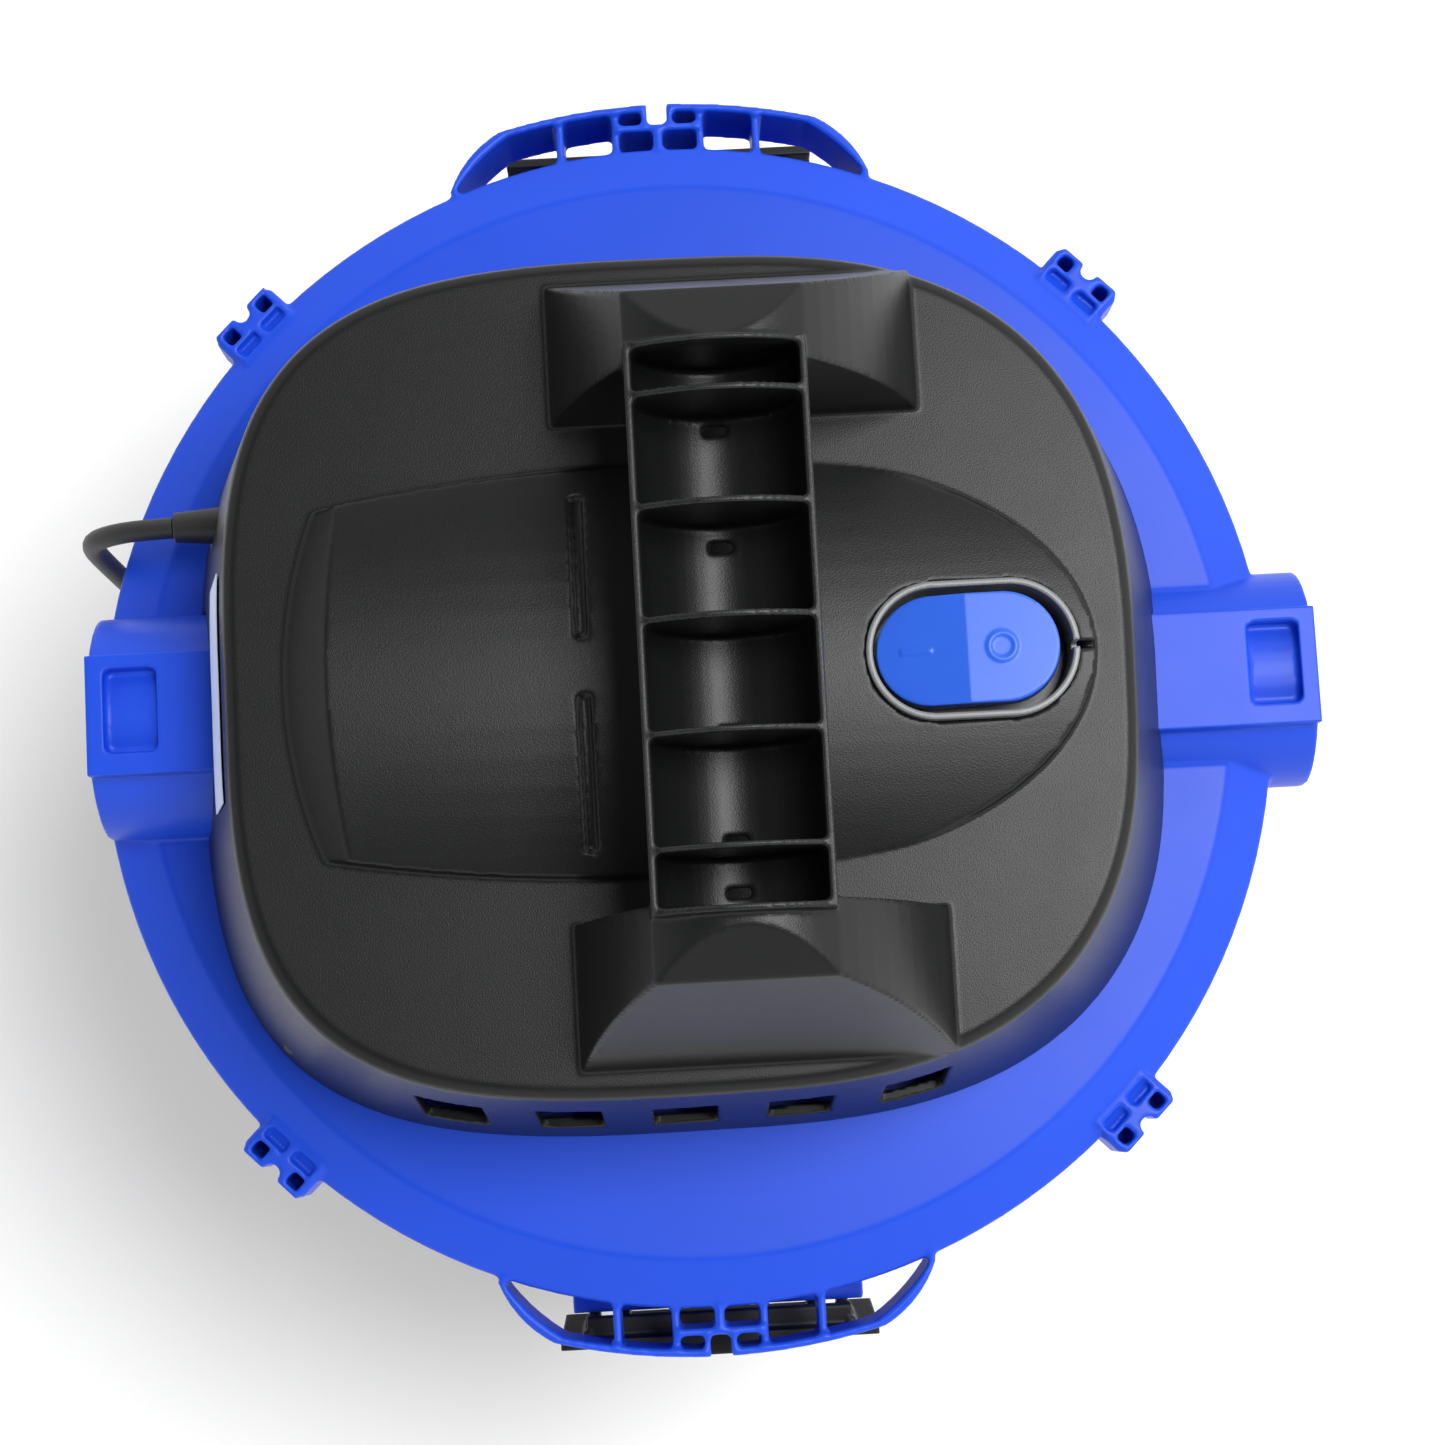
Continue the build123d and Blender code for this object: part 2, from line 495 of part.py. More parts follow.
def motor_cover():
    outer = cover_block(0.0, COVER_FOOT_Z, COVER_TOP_Z, 3.0) + dome(0.0) + pad(1) + pad(-1)
    outer += handle_solid(0.0, HANDLE_Y0, HANDLE_Y1, HANDLE_Z)
    body = outer - cover_block(SHELL, COVER_FOOT_Z - 1, COVER_TOP_Z - SHELL, 0.0)
    body -= dome(SHELL) & block(-200, 200, -80, 80, COVER_TOP_Z - SHELL - 3, 500)
    body -= handle_cells()
    for y in (*RIB_Y, HANDLE_Y0 + HANDLE_WALL / 2, HANDLE_Y1 - HANDLE_WALL / 2):
        body += handle_rib(y)
    for y in (54.0, 24.0, -22.5, -50.0, -63.0):
        body -= block(HANDLE_X - 3.6, HANDLE_X + 2.4, y - 1.3, y + 1.3, HANDLE_Z - 40, HANDLE_Z - 20)
    # air vents in both long walls
    for x in (-70.0, -38.0, -6.5, 25.0, 56.5):
        for y0, y1 in ((-125, -105), (105, 125)):
            body -= block(x - 8.8, x + 8.8, y0, y1, DECK_Z + 23, DECK_Z + 60)
    # openings for the two hose ports, the switch and the cord
    body -= bar_x(PORT_R + 0.35, 60, 200, PORT_Y, INLET_Z)
    body -= block(60, 200, PORT_Y - COLLAR_W / 2 - 0.35, PORT_Y + COLLAR_W / 2 + 0.35, INLET_Z,
                  INLET_Z + PORT_R + COLLAR_RISE + 0.35)
    body -= bar_x(PORT_R + 0.35, -200, -100, PORT_Y, BLOWER_Z)
    body -= block(-200, -100, PORT_Y - COLLAR_W / 2 - 0.35, PORT_Y + COLLAR_W / 2 + 0.35, BLOWER_Z,
                  BLOWER_Z + PORT_R + COLLAR_RISE + 0.35)
    body -= block(-200, -100, PORT_Y - PORT_R - 0.35, PORT_Y + PORT_R + 0.35, COVER_FOOT_Z - 5, BLOWER_Z)
    body -= slot_prism(BEZEL_L, BEZEL_W, COVER_TOP_Z - 10, COVER_TOP_Z + 30, SWITCH_X)
    body -= block(SWITCH_X + BEZEL_L / 2 - 4, 112, -0.9, 0.9, COVER_TOP_Z + 2.0, COVER_TOP_Z + 30)
    body -= bar_x(6.0, -170, -110, CORD_Y, 350.0)
    # shallow grooves across the barrel
    bed = Pos(-92, 0, DOME_CROWN_Z - DOME_BARREL_R) * Rot(0, 90 + DOME_SLOPE, 0)
    bed = bed * Cylinder(DOME_BARREL_R - 1.4, 600)
    for y0, y1 in ((8.0, 46.5), (-48.0, -7.0)):
        body -= block(-28.8, -25.2, y0, y1, COVER_TOP_Z + 0.6, COVER_TOP_Z + 30) - bed
    for radius, angle in SCREW_SPOTS:
        web = block(radius, radius + 8.6, -1.5, 1.5, COVER_FOOT_Z, COVER_FOOT_Z + 14)
        body += (tube(5.0, 0, COVER_FOOT_Z, COVER_FOOT_Z + 22, radius) + web).rotate(Axis.Z, angle)
    for x, y in screw_places():
        body -= tube(2.0, 0, COVER_FOOT_Z - 1, COVER_FOOT_Z + 18.2, x, y)
    return body


def cover_screws():
    screw = tube(2.0, 0, COVER_FOOT_Z + 0.4, COVER_FOOT_Z + 18)
    screw += tube(1.75, 0, DECK_Z - 14, COVER_FOOT_Z + 0.4)
    screw += tube(4.0, 0, DECK_Z - 17, DECK_Z - 14)
    screw -= block(-0.4, 0.4, -3, 3, DECK_Z - 17.5, DECK_Z - 15.6)
    screw -= block(-3, 3, -0.4, 0.4, DECK_Z - 17.5, DECK_Z - 15.6)
    return Compound([Pos(x, y, 0) * screw for x, y in screw_places()])


def rating_label():
    """Blank label on the cover's rear wall."""
    outer = cover_block(-0.3, COVER_FOOT_Z, COVER_TOP_Z, 0.0)
    skin = outer - cover_block(0.0, COVER_FOOT_Z, COVER_TOP_Z, 0.0)
    return skin & block(-160, -100, -28.0, 34.0, 374, 402)


# ---- switch -------------------------------------------------------------------------------
def switch_bezel():
    ring = slot_prism(BEZEL_L, BEZEL_W, COVER_TOP_Z - 12, SWITCH_TOP, SWITCH_X)
    ring -= slot_prism(BEZEL_L - 3.4, BEZEL_W - 3.4, COVER_TOP_Z - 10, SWITCH_TOP + 2, SWITCH_X)
    ring -= slot_prism(BEZEL_L - 12, BEZEL_W - 12, COVER_TOP_Z - 14, SWITCH_TOP, SWITCH_X)
    ring -= block(SWITCH_X + BEZEL_L / 2 - 4, 112, -0.9, 0.9, COVER_TOP_Z + 2.0, SWITCH_TOP + 2)
    return ring


def rocker_button():
    """Rocker with two flats that meet in a shallow ridge, drawn level and then tipped to on."""
    x, z = SWITCH_X, ROCKER_Z
    end = ROCKER_L / 2 + 6
    body = slot_prism(ROCKER_L, ROCKER_W, z - 2.0, z + 12, x)
    side = make_face(Polyline((x - end, 0, z - 5), (x - end, 0, z + ROCKER_END),
                              (x, 0, z + ROCKER_RIDGE), (x + end, 0, z + ROCKER_END),
                              (x + end, 0, z - 5), close=True))
    body &= extrude(Pos(0, -30, 0) * side, amount=60, dir=(0, 1, 0))
    for y0, y1 in ((6.0, 8.5), (-8.5, -6.0)):
        body += block(x - 3.2, x + 3.2, y0, y1, PIVOT_Z - 3.2, z)
    body += block(x - 1.4, x + 1.4, -4, 4, PIVOT_Z - 7.9, z)
    body += Pos(x, 0, PIVOT_Z) * Rot(90, 0, 0) * Cylinder(1.5, 24.0)
    # raised on and off marks: a bar and a ring
    slope = degrees(atan((ROCKER_RIDGE - ROCKER_END) / end))
    bar_z = z + ROCKER_RIDGE - 13.4 * tan(radians(slope)) + MARK_PROUD - 1
    ring_z = z + ROCKER_RIDGE - 9.0 * tan(radians(slope)) + MARK_PROUD - 1
    body += Pos(x - 13.4, 0, bar_z) * Rot(0, -slope, 0) * Box(8.0, 1.3, 2.0)
    body += Pos(x + 9.0, 0, ring_z) * Rot(0, slope, 0) * tube(4.0, 3.0, -1, 1)
    return body.rotate(Axis((x, 0, PIVOT_Z), (0, 1, 0)), -ROCKER_TILT)


def switch_body():
    """Switch module below the rocker, with two ears that carry the rocker's pin."""
    x = SWITCH_X
    body = block(x - 16, x + 16, -14.5, 14.5, COVER_TOP_Z - 34, COVER_TOP_Z - 12)
    for y0, y1 in ((9.0, 11.6), (-11.6, -9.0)):
        body += block(x - 3, x + 3, y0, y1, COVER_TOP_Z - 13, PIVOT_Z + 2.9)
    body -= Pos(x, 0, PIVOT_Z) * Rot(90, 0, 0) * Cylinder(1.5 + FIT, 30)
    for dx in (-9, 0, 9):
        body += block(x + dx - 3.2, x + dx + 3.2, -0.5, 0.5, COVER_TOP_Z - 42, COVER_TOP_Z - 33)
    return body


# ---- motor and fan ------------------------------------------------------------------------
FAN_Z1 = DECK_Z + 26.0
BRACKET_LOW_Z = FAN_Z1 + 0.2
CORE_Z0, CORE_Z1 = DECK_Z + 38.0, DECK_Z + 62.0
SHAFT_R = 4.0


def motor_gasket():
    places = [polar(63.0, a)[:2] for a in (10, 130, 250)]
    holes = Compound([tube(2.2, 0, DECK_Z - 1, DECK_Z + 2, x, y) for x, y in places])
    return tube(66.0, 42.0, DECK_Z, DECK_Z + 0.8) - holes


def fan_shroud():
    """Pressed cup around the impeller, with a flange below and outlets round its side."""
    z0, z1 = DECK_Z + 0.8, FAN_Z1
    body = spun([(24, z0), (76, z0), (76, z0 + 1.2), (63.2, z0 + 1.2), (63.2, z1), (9.0, z1),
                 (9.0, z1 - 1.2), (62.0, z1 - 1.2), (62.0, z0 + 1.2), (24, z0 + 1.2)])
    for cut in turned(block(55, 70, -9, 9, z0 + 7, z1 - 6), 8, 22.5):
        body -= cut
    for x, y in motor_screw_places():
        body -= tube(1.75, 0, z0 - 1, z0 + 3, x, y)
    return body


def motor_screws():
    screw = tube(1.75, 0, DECK_Z - 2.6, DECK_Z + 2.0) + tube(3.6, 0, DECK_Z + 2.0, DECK_Z + 4.4)
    screw -= block(-0.5, 0.5, -2.6, 2.6, DECK_Z + 3.4, DECK_Z + 5)
    return Compound([Pos(x, y, 0) * screw for x, y in motor_screw_places()])


def impeller():
    z0, z1 = DECK_Z + 4.5, FAN_Z1 - 4.5
    body = tube(57.0, SHAFT_R, z1 - 1.2, z1) + tube(57.0, 22.0, z0, z0 + 1.2)
    body += tube(9.0, SHAFT_R, z0 + 6, z1)
    for index in range(9):
        start = 40.0 * index
        inner, middle, outer = polar(20, start), polar(38, start - 22), polar(56, start - 34)
        blade = ThreePointArc(inner[:2], middle[:2], outer[:2])
        body += extrude(Pos(0, 0, z0 + 0.6) * trace(blade, 1.2), amount=z1 - z0 - 1.2)
    return body


def bearing_low():
    return tube(9.0, SHAFT_R + FIT, BRACKET_LOW_Z + 0.6, BRACKET_LOW_Z + 4.8)


def motor_bracket_low():
    z0 = BRACKET_LOW_Z
    body = tube(48.0, 44.0, z0, CORE_Z0 - 0.2 + 3) + tube(12.0, 9.0, z0, z0 + 4.8)
    body += tube(48.0, 12.0, z0, z0 + 1.6)
    for cut in turned(block(20, 38, -8, 8, z0 - 1, z0 + 3), 6):
        body -= cut
    return body


def field_core():
    """Laminated stack with two poles."""
    body = tube(43.8, 35.0, CORE_Z0, CORE_Z1)
    poles = block(-38, 38, -15, 15, CORE_Z0, CORE_Z1) - tube(24.6, 0, CORE_Z0 - 1, CORE_Z1 + 1)
    poles -= block(-31, -27.5, -20, -9.5, CORE_Z0 - 1, CORE_Z1 + 1)
    body += poles & tube(43.0, 0, CORE_Z0, CORE_Z1)
    return body


def field_coils():
    coils = []
    for side in (1, -1):
        loop = block(26.4, 33.8, -21, 21, CORE_Z0 - 6, CORE_Z1 + 6) - block(
            20, 40, -15.2, 15.2, CORE_Z0 - 0.2, CORE_Z1 + 0.2)
        loop -= tube(25.6, 0, CORE_Z0 - 10, CORE_Z1 + 10)
        loop &= tube(34.6, 0, CORE_Z0 - 10, CORE_Z1 + 10)
        coils.append(loop if side > 0 else loop.rotate(Axis.Z, 180))
    return Compound(coils)


def motor_bracket_top():
    z0 = CORE_Z1
    body = block(-43, 43, -9, 9, z0 + 15.0, z0 + 17.0) - tube(20.0, 0, z0, z0 + 30)
    body += tube(24.0, 20.0, z0 + 12.0, z0 + 17.0) + tube(12.0, 7.0, z0 + 16.0, z0 + 21.0)
    body += block(-22, 22, -3, 3, z0 + 15, z0 + 17) - tube(11.0, 0, z0, z0 + 30)
    for side in (1, -1):
        x0, x1 = sorted((side * 40.2, side * 43.6))
        body += block(x0, x1, -9, 9, z0, z0 + 17.0)
    return body


def bearing_top():
    return tube(7.0, SHAFT_R - 1.0 + FIT, CORE_Z1 + 16.0, CORE_Z1 + 21.0)


def motor_shaft():
    stub = tube(SHAFT_R - 1.0, 0, CORE_Z1 + 15.0, CORE_Z1 + 28.0)
    return tube(SHAFT_R, 0, DECK_Z + 3.0, CORE_Z1 + 15.0) + stub


def armature_core():
    body = tube(24.0, SHAFT_R, CORE_Z0, CORE_Z1)
    for cut in turned(block(19, 23, -1.6, 1.6, CORE_Z0 - 1, CORE_Z1 + 1), 12):
        body -= cut
    return body


def armature_windings():
    low = spun([(9, CORE_Z0 - 5.6), (18, CORE_Z0 - 5.6), (22.4, CORE_Z0 - 2.6), (22.4, CORE_Z0),
                (9, CORE_Z0)])
    high = spun([(13, CORE_Z1 + 4), (18, CORE_Z1 + 4), (22.4, CORE_Z1 + 2), (22.4, CORE_Z1),
                 (13, CORE_Z1)])
    return Compound([low, high])


def commutator():
    return tube(11.0, SHAFT_R, CORE_Z1 + 0.4, CORE_Z1 + 14.0)


def carbon_brushes():
    brush = block(11.4, 21.0, -3.0, 3.0, CORE_Z1 + 7.2, CORE_Z1 + 11.2)
    return Compound([brush, brush.rotate(Axis.Z, 180)])


def brush_holders():
    holder = block(14.0, 30.0, -5.0, 5.0, CORE_Z1 + 6.3, CORE_Z1 + 11.9) - block(
        13.0, 28.0, -3.0, 3.0, CORE_Z1 + 7.2, CORE_Z1 + 11.2)
    return Compound([holder, holder.rotate(Axis.Z, 180)])


def brush_springs():
    spring = bar_x(1.9, 21.0, 28.0, 0, CORE_Z1 + 9.2)
    return Compound([spring, spring.rotate(Axis.Z, 180)])


def cooling_fan():
    z0, z1 = CORE_Z1 + 21.6, CORE_Z1 + 27.0
    body = tube(9.0, SHAFT_R - 1.0, z0, z1) + tube(26.0, SHAFT_R - 1.0, z0, z0 + 1.2)
    for blade in turned(block(8, 25.5, -0.6, 0.6, z0 + 0.6, z1), 8):
        body += blade
    return body


def impeller_nut():
    hexagon = extrude(Pos(0, 0, DECK_Z + 3.4) * RegularPolygon(6.5, 6), amount=6.6)
    return hexagon - tube(SHAFT_R, 0, DECK_Z, DECK_Z + 20)


def exhaust_foam():
    body = block(-109.5, -80, -44, 48, DECK_Z + 0.6, DECK_Z + 42)
    return body


# ---- filter and float ---------------------------------------------------------------------
CAGE_Z0, CAGE_Z1 = 196.0, DECK_Z - 3.2


def filter_cage():
    body = tube(48.8, 45.8, CAGE_Z0, CAGE_Z1) + tube(48.8, 0, CAGE_Z0, CAGE_Z0 + 2.5)
    for level in range(4):
        z0 = CAGE_Z0 + 8 + 27 * level
        for cut in turned(block(40, 60, -5.5, 5.5, z0, z0 + 21), 12):
            body -= cut
    for cut in turned(block(20, 42, -3, 3, CAGE_Z0 - 1, CAGE_Z0 + 4), 6):
        body -= cut
    body += tube(47.0, 17.0, CAGE_Z1 - 6, CAGE_Z1 - 4)
    return body


def float_ball():
    return Pos(0, 0, CAGE_Z0 + 2.8 + 22.0) * Sphere(22.0)


def foam_sleeve():
    return tube(60.0, 49.0, CAGE_Z0 - 2, DECK_Z - 15.0) + tube(60.0, 0, CAGE_Z0 - 12, CAGE_Z0 - 0.2)


def sleeve_retainer():
    return tube(61.6, 60.0, DECK_Z - 30, DECK_Z - 22)


def inlet_deflector():
    """Chute in the inlet's lower opening that throws the stream sideways along the drum's wall."""
    z0, z1 = INLET_Z - 58, INLET_Z - 21
    x0, x1, half, wall = 126.0, 143.4, 20.85, 2.0
    body = block(x0, x1, PORT_Y - half, PORT_Y + half, z0, z1)
    body -= block(x0 + wall, x1 - wall, PORT_Y - half + wall, PORT_Y + half - wall, z0 + wall, z1 + 1)
    body -= block(x0 + wall, x1 - wall, PORT_Y - half - 1, PORT_Y, z0 + wall, z0 + 22)
    # the hose cuff's place in the bore stays free
    return body - bar_x(PORT_BORE_R + 0.4, 100, INLET_END, PORT_Y, INLET_Z)


# ---- cord ---------------------------------------------------------------------------------
def strain_relief():
    """Tapered rubber boot through the cover's rear wall."""
    body = Pos(-134.0, CORD_Y, 350.0) * Rot(0, -90, 0) * Cone(5.9, 4.3, 20.0)
    body -= bar_x(CORD_D / 2 + 0.02, -170, -120, CORD_Y, 350.0)
    return body


CORD_POINTS = [
    (-144.2, 57.5, 350.0), (-155.6, 57.4, 349.3), (-165.6, 57.2, 343.4), (-171.4, 57.0, 333.6),
    (-172.0, 56.8, 311.0), (-171.8, 56.4, 268.0), (-172.4, 56.8, 218.0), (-174.6, 58.0, 168.0),
    (-178.6, 60.2, 118.0), (-183.6, 63.8, 70.0), (-188.6, 70.6, 33.0), (-191.4, 84.0, 9.5),
    (-188.6, 104.0, 3.3), (-177.0, 124.0, 3.2), (-162.5, 142.4, 3.2), (-149.2, 161.0, 3.2),
    (-137.9, 179.2, 3.2)]


def corner_radii(points):
    """Arc radius at each inner point: 0.45 of the shorter run over the tangent of half the turn."""
    radii = []
    for before, here, after in zip(points, points[1:], points[2:]):
        a, b = Vector(*here) - Vector(*before), Vector(*after) - Vector(*here)
        turn = radians(a.get_angle(b))
        radii.append(0.45 * min(a.length, b.length) / tan(turn / 2))
    return radii


def power_cord():
    radii = corner_radii(CORD_POINTS)
    path = FilletPolyline(*CORD_POINTS, radius=radii)
    start = Plane(origin=path @ 0, z_dir=path % 0)
    solid = sweep(start * Circle(CORD_D / 2), path=path)
    print("cord radii", [round(r, 1) for r in radii], "length", round(path.length, 1),
          "volume ratio", round(solid.volume / (pi * CORD_D ** 2 / 4 * path.length), 4))
    return solid


def cord_coil():
    """Outer shape of the coiled length, with the short straight piece that leads into it."""
    ring = tube(COIL_OUT, COIL_IN, 0, COIL_H, COIL_X, COIL_Y)
    end, before = Vector(*CORD_POINTS[-1]), Vector(*CORD_POINTS[-2])
    heading = (end - before).normalized()
    lead = Plane(origin=end + heading * 0.3, z_dir=heading) * Circle(CORD_D / 2)
    return ring + extrude(lead, amount=24.0)


PLUG_X, PLUG_Y, PLUG_Z = COIL_X - 16.0, COIL_Y - 38.0, COIL_H + 9.7


def plug():
    """Three-pin plug lying on the coil, blades towards -X."""
    body = Pos(PLUG_X, PLUG_Y, PLUG_Z) * Box(26.0, 24.0, 19.0)
    body = fillet(body.edges().filter_by(Axis.X), 5.0)
    body += Pos(PLUG_X + 21.0, PLUG_Y, PLUG_Z) * Rot(0, 90, 0) * Cone(6.4, 4.2, 18.0)
    return body


def plug_blades():
    x, y = PLUG_X - 13.0, PLUG_Y
    blades = []
    for side in (-6.35, 6.35):
        blades.append(block(x - 17.0, x, y + side - 0.75, y + side + 0.75, PLUG_Z - 1.0, PLUG_Z + 5.4))
    ground = bar_x(2.4, x - 20.0, x, y, PLUG_Z - 5.6)
    return Compound(blades + [ground])


# ---- write every node ---------------------------------------------------------------------
def main():
    os.makedirs("parts", exist_ok=True)
    nodes = {
        "drum": drum, "caster_sockets": caster_sockets, "latch_pins": latch_pins,
        "latch_left": lambda: released_latch(1), "latch_right": lambda: released_latch(-1),
        "lid": lid, "lid_seal": lid_seal, "motor_cover": motor_cover, "cover_screws": cover_screws,
        "rating_label": rating_label, "switch_bezel": switch_bezel, "switch_body": switch_body,
        "rocker_button": rocker_button, "strain_relief": strain_relief,
        "motor_gasket": motor_gasket, "fan_shroud": fan_shroud, "motor_screws": motor_screws,
        "impeller": impeller, "impeller_nut": impeller_nut, "motor_shaft": motor_shaft,
        "bearing_low": bearing_low, "bearing_top": bearing_top,
        "motor_bracket_low": motor_bracket_low, "motor_bracket_top": motor_bracket_top,
        "field_core": field_core, "field_coils": field_coils, "armature_core": armature_core,
        "armature_windings": armature_windings, "commutator": commutator,
        "carbon_brushes": carbon_brushes, "brush_holders": brush_holders, "brush_springs": brush_springs,
        "cooling_fan": cooling_fan, "exhaust_foam": exhaust_foam, "filter_cage": filter_cage,
        "float_ball": float_ball, "foam_sleeve": foam_sleeve, "sleeve_retainer": sleeve_retainer,
        "inlet_deflector": inlet_deflector, "power_cord": power_cord, "cord_coil": cord_coil,
        "plug": plug, "plug_blades": plug_blades}
    for index in range(4):
        for name, make in (("yoke", caster_yoke), ("stem", caster_stem), ("axle", caster_axle),
                           ("wheel", caster_wheel)):
            nodes[f"caster_{name}_{index + 1}"] = lambda i=index, build=make: at_caster(i, build())
    for node, make in nodes.items():
        save(node, make())


main()
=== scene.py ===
import json
import math

import bmesh
import bpy
from mathutils import Matrix, Vector


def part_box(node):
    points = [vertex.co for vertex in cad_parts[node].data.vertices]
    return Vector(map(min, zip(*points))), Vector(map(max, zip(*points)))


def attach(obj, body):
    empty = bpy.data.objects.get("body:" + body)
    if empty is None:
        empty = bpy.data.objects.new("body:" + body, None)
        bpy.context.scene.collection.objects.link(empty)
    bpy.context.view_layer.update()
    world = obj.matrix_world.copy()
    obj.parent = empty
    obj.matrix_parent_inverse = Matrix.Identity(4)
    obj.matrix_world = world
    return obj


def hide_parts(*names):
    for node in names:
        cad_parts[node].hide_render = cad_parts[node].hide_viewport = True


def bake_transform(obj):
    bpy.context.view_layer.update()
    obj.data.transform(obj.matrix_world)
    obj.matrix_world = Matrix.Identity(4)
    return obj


# Looks of a small wet/dry shop vacuum, seen from above. Metres, in the CAD's own frame.
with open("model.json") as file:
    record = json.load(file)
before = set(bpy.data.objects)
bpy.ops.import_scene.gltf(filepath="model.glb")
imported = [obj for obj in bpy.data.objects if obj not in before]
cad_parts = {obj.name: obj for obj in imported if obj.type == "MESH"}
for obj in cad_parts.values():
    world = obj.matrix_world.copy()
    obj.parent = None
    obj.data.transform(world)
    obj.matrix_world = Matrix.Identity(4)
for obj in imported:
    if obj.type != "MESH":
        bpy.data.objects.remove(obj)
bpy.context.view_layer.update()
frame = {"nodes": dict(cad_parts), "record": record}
NODES = frame["nodes"]
BODY_OF = {n: b for b, nodes in frame["record"]["behaviour"]["bodies"].items() for n in nodes}
SLOT_OF = {s["node"]: s["material_slot"] for s in frame["record"]["subparts"]}

AXIS_X = -0.005                      # the drum's axis in the row frame

# ---- camera -------------------------------------------------------------------------------
CAMERA_AT = Vector((-0.0076, -0.1170, 1.220))
CAMERA_AIM = Vector((0.0050, -0.0030, 0.320))
CAMERA_UP = Vector((0.0523, 0.9906, 0.1261))
LENS_MM = 76.9


def make_camera():
    data = bpy.data.cameras.new("camera")
    data.lens, data.sensor_width = LENS_MM, 36.0
    data.clip_start, data.clip_end = 0.01, 20.0
    camera = bpy.data.objects.new("camera", data)
    bpy.context.scene.collection.objects.link(camera)
    back = (CAMERA_AT - CAMERA_AIM).normalized()
    right = CAMERA_UP.cross(back).normalized()
    up = back.cross(right)
    camera.matrix_world = Matrix.Translation(CAMERA_AT) @ Matrix((right, up, back)).transposed().to_4x4()
    bpy.context.scene.camera = camera


# ---- mesh helpers -------------------------------------------------------------------------
def link(name, data):
    obj = bpy.data.objects.new(name, data)
    bpy.context.scene.collection.objects.link(obj)
    return obj


def evaluated_mesh(obj):
    """The object's mesh with its modifiers applied."""
    depsgraph = bpy.context.evaluated_depsgraph_get()
    return bpy.data.meshes.new_from_object(obj.evaluated_get(depsgraph))


def shade_smooth(mesh):
    mesh.polygons.foreach_set("use_smooth", [True] * len(mesh.polygons))


def softened(node, voxel, passes):
    """Moulded copy of a CAD node: the same solid with its edges eased, which stands for the node."""
    mesh = NODES[node].data.copy()
    shape = bmesh.new()
    shape.from_mesh(mesh)
    bmesh.ops.remove_doubles(shape, verts=shape.verts, dist=1e-6)
    shape.to_mesh(mesh)
    shape.free()
    source = link("source_" + node, mesh)
    remesh = source.modifiers.new("remesh", "REMESH")
    remesh.mode, remesh.use_smooth_shade = "VOXEL", True
    remesh.voxel_size = voxel * 1.0
    smooth = source.modifiers.new("smooth", "SMOOTH")
    smooth.factor, smooth.iterations = 0.5, passes
    final = evaluated_mesh(source)
    bpy.data.objects.remove(source)
    shade_smooth(final)
    final.materials.clear()
    final.materials.append(MATERIALS[SLOT_OF[node]])
    piece = link(node + "_moulded", final)
    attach(piece, BODY_OF[node])
    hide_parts(node)
    return piece


# node, voxel in metres, smoothing passes
MOULDED = [
    ("motor_cover", 0.0007, 2), ("lid", 0.0008, 2), ("rocker_button", 0.0003, 8),
    ("switch_bezel", 0.0003, 3), ("strain_relief", 0.0004, 5), ("drum", 0.0009, 2),
    ("latch_left", 0.0005, 4), ("latch_right", 0.0005, 4),
    *[(f"caster_yoke_{index}", 0.0005, 4) for index in range(1, 5)]]
PLUG_MOULD = ("plug", 0.0004, 6)    # made before the others, since the cord names it


